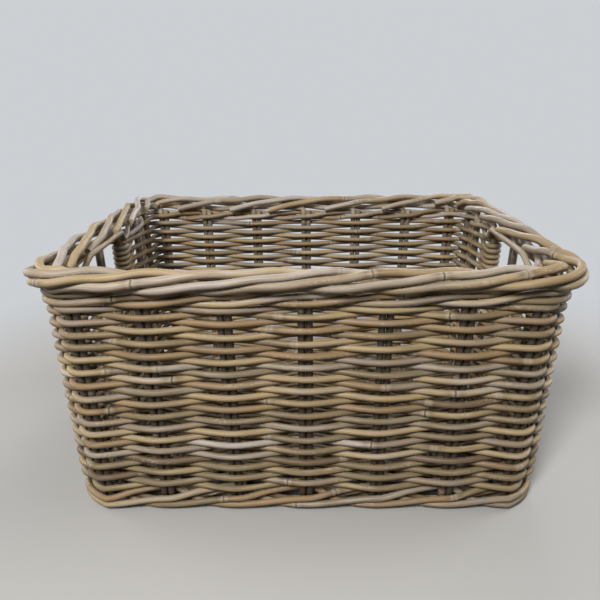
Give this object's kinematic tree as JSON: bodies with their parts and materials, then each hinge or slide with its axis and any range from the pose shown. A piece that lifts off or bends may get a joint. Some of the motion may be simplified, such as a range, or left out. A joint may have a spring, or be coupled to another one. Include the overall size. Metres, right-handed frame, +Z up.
{
  "type": "shelf basket",
  "caption": "Rectangular open shelf basket woven from natural rattan cane, with a rolled border and a hand hole in each short wall.",
  "frame": {"origin": "centre of the basket's footprint, on the surface that it stands on", "axes": "+X along the long walls, +Y from the front wall to the rear wall, +Z up"},
  "size_m": [0.4934, 0.4002, 0.252],
  "materials": {
    "stake_cane": "satin",
    "weaver_cane": "satin",
    "wale_cane": "satin",
    "base_cane": "satin"
  },
  "bodies": {
    "root": {"base_weaver": "base_cane", "bottom_wale_rod_1": "wale_cane", "bottom_wale_rod_2": "wale_cane", "bottom_wale_rod_3": "wale_cane", "course_01": "weaver_cane", "course_02": "weaver_cane", "course_03": "weaver_cane", "course_04": "weaver_cane", "course_05": "weaver_cane", "course_06": "weaver_cane", "course_07": "weaver_cane", "course_08": "weaver_cane", "course_09": "weaver_cane", "course_10": "weaver_cane", "course_11": "weaver_cane", "course_12": "weaver_cane", "course_13": "weaver_cane", "course_14": "weaver_cane", "course_15": "weaver_cane", "course_16": "weaver_cane", "course_17": "weaver_cane", "course_18": "weaver_cane", "course_19": "weaver_cane", "course_20": "weaver_cane", "course_21": "weaver_cane", "course_22": "weaver_cane", "course_23": "weaver_cane", "course_24": "weaver_cane", "course_25": "weaver_cane", "cross_stake_1_left_rolled": "stake_cane", "cross_stake_1_right_rolled": "stake_cane", "cross_stake_2_left_rolled": "stake_cane", "cross_stake_2_right_rolled": "stake_cane", "cross_stake_3_left_rolled": "stake_cane", "cross_stake_3_right_rolled": "stake_cane", "cross_stake_4_left_rolled": "stake_cane", "cross_stake_4_right_rolled": "stake_cane", "cross_stake_5_left_rolled": "stake_cane", "cross_stake_5_right_rolled": "stake_cane", "cross_stake_6_left_rolled": "stake_cane", "cross_stake_6_right_rolled": "stake_cane", "front_hole_weaver": "weaver_cane", "long_stake_1_front_rolled": "stake_cane", "long_stake_1_rear_rolled": "stake_cane", "long_stake_2_front_rolled": "stake_cane", "long_stake_2_rear_rolled": "stake_cane", "long_stake_3_front_rolled": "stake_cane", "long_stake_3_rear_rolled": "stake_cane", "long_stake_4_front_rolled": "stake_cane", "long_stake_4_rear_rolled": "stake_cane", "long_stake_5_front_rolled": "stake_cane", "long_stake_5_rear_rolled": "stake_cane", "long_stake_6_front_rolled": "stake_cane", "long_stake_6_rear_rolled": "stake_cane", "long_stake_7_front_rolled": "stake_cane", "long_stake_7_rear_rolled": "stake_cane", "rear_hole_weaver": "weaver_cane", "top_wale_rod_1": "wale_cane", "top_wale_rod_2": "wale_cane", "top_wale_rod_3": "wale_cane"}
  },
  "joints": []
}
